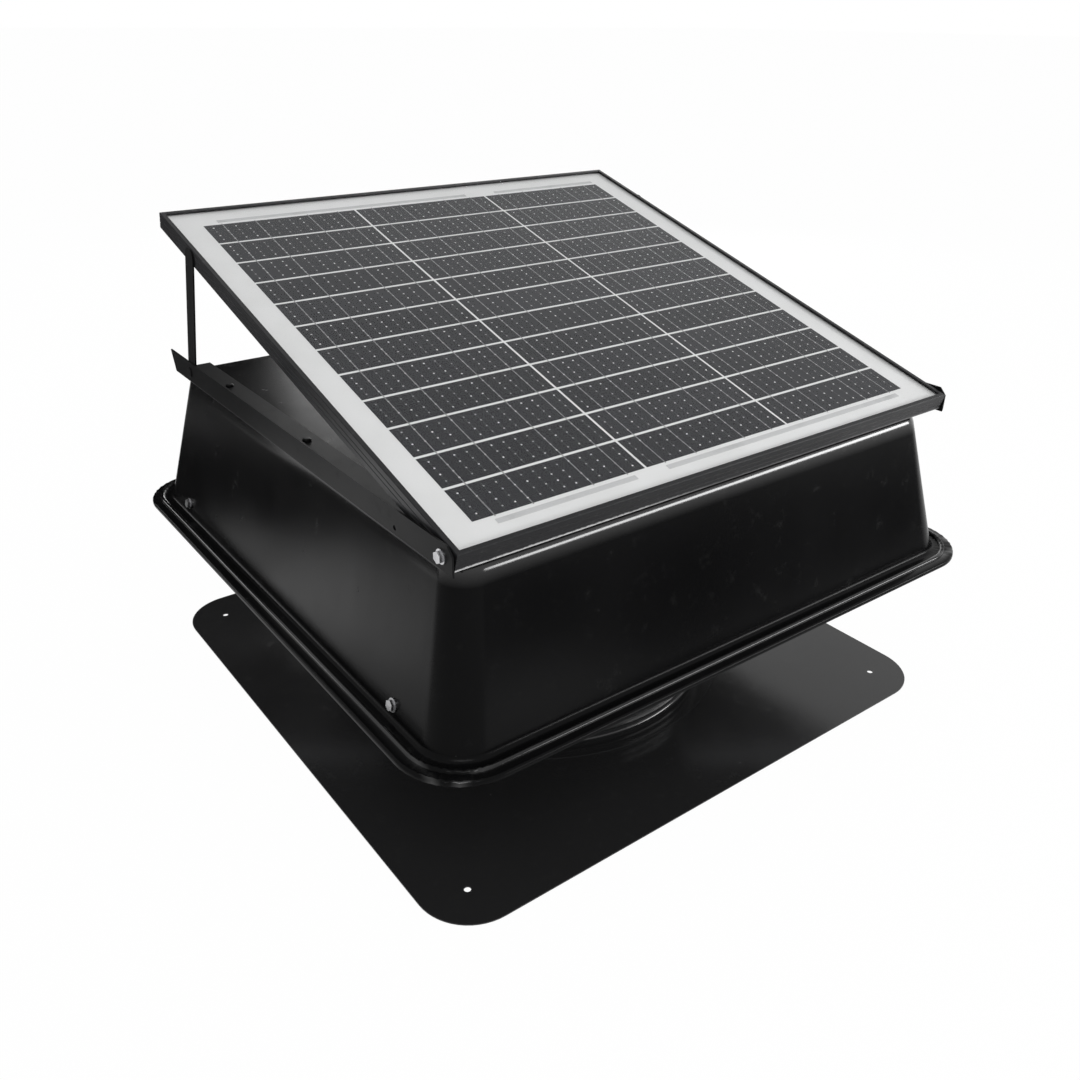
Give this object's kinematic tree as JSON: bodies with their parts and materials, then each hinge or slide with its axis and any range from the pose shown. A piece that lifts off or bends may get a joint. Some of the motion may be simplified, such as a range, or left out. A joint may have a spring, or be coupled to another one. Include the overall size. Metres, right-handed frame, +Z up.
{
  "type": "solar roof exhaust fan",
  "caption": "Square-hooded roof exhaust fan with a motor-driven impeller in a round throat and a framed solar panel that tilts up on side struts.",
  "frame": {"origin": "middle of the underside of the square roof flashing", "axes": "+Z up out of the roof, +Y towards the raised edge of the panel, -Y towards its low edge, +X to the right when seen from the low edge"},
  "size_m": [0.6326, 0.6326, 0.4616],
  "materials": {
    "painted_sheet": "semi-gloss black powder coat",
    "painted_rail": "satin black powder coat",
    "panel_frame": "black anodised, brushed",
    "bare_aluminium": "as cut",
    "blade_aluminium": "rolled sheet",
    "zinc_steel": "zinc plated",
    "screen_metal": "matt grey coat",
    "fastener": "plain stainless",
    "motor_case": "matt black",
    "core_steel": "oiled",
    "bearing_steel": "ground",
    "grommet_rubber": "matt",
    "panel_glass": "clear, flat",
    "solar_cell": "dark blue-black silicon under glass",
    "tinned_ribbon": "tinned copper ribbon",
    "white_backing": "white polymer sheet",
    "black_plastic": "moulded"
  },
  "bodies": {
    "base": {"flashing_plate": "painted_sheet", "throat_collar": "painted_sheet", "guard_screen": "screen_metal", "motor_bracket": "zinc_steel", "bracket_screws": "fastener", "motor_housing": "motor_case", "motor_end_cap": "motor_case", "motor_screws": "fastener", "stator_core": "core_steel", "bearing_lower": "bearing_steel", "bearing_upper": "bearing_steel", "hood_shell": "painted_sheet", "hood_arm_front_left": "zinc_steel", "hood_arm_front_right": "zinc_steel", "hood_arm_rear_left": "zinc_steel", "hood_arm_rear_right": "zinc_steel", "arm_screws": "fastener", "hood_screws": "fastener", "rail_left": "painted_rail", "rail_right": "painted_rail", "rail_screws": "painted_rail", "cable_grommet": "grommet_rubber", "pivot_washers": "fastener", "strut_pins": "painted_rail"},
    "panel": {"frame_front": "panel_frame", "frame_rear": "panel_frame", "frame_left": "panel_frame", "frame_right": "panel_frame", "corner_keys": "bare_aluminium", "glass_pane": "panel_glass", "cell_string_left": "solar_cell", "cell_string_middle": "solar_cell", "cell_string_right": "solar_cell", "string_ribbons": "tinned_ribbon", "backing_sheet": "white_backing", "junction_box": "black_plastic", "junction_box_lid": "black_plastic", "cable_gland": "black_plastic", "pivot_bolts": "fastener", "pivot_nuts": "fastener"},
    "strut_left_body": {"strut_left": "painted_rail", "strut_top_pin_left": "painted_rail"},
    "strut_right_body": {"strut_right": "painted_rail", "strut_top_pin_right": "painted_rail"},
    "impeller": {"fan_blade_1": "blade_aluminium", "fan_blade_2": "blade_aluminium", "fan_blade_3": "blade_aluminium", "fan_blade_4": "blade_aluminium", "fan_blade_5": "blade_aluminium", "blade_spider": "zinc_steel", "blade_rivets": "fastener", "fan_hub": "bare_aluminium", "hub_screw": "core_steel", "motor_shaft": "bearing_steel", "rotor_magnet": "core_steel"}
  },
  "joints": [
    {"name": "fan_spin", "type": "hinge", "parent": "base", "child": "impeller", "pos_m": [0, 0, 0.114], "axis": [0, 0, 1], "continuous": true},
    {"name": "panel_tilt", "type": "hinge", "parent": "base", "child": "panel", "pos_m": [0, -0.26198, 0.3135], "axis": [1, 0, 0], "range_deg": [-15.5, 0]},
    {"name": "strut_left_fold", "type": "hinge", "parent": "base", "child": "strut_left_body", "pos_m": [-0.27043, 0.20802, 0.3135], "axis": [1, 0, 0], "range_deg": [0, 70.5]},
    {"name": "strut_right_fold", "type": "hinge", "parent": "base", "child": "strut_right_body", "pos_m": [0.27043, 0.20802, 0.3135], "axis": [1, 0, 0], "range_deg": [0, 70.5]}
  ],
  "couplings": [
    {"joint": "strut_left_fold", "follows": "panel_tilt", "ratio": -4.54},
    {"joint": "strut_right_fold", "follows": "panel_tilt", "ratio": -4.54}
  ]
}
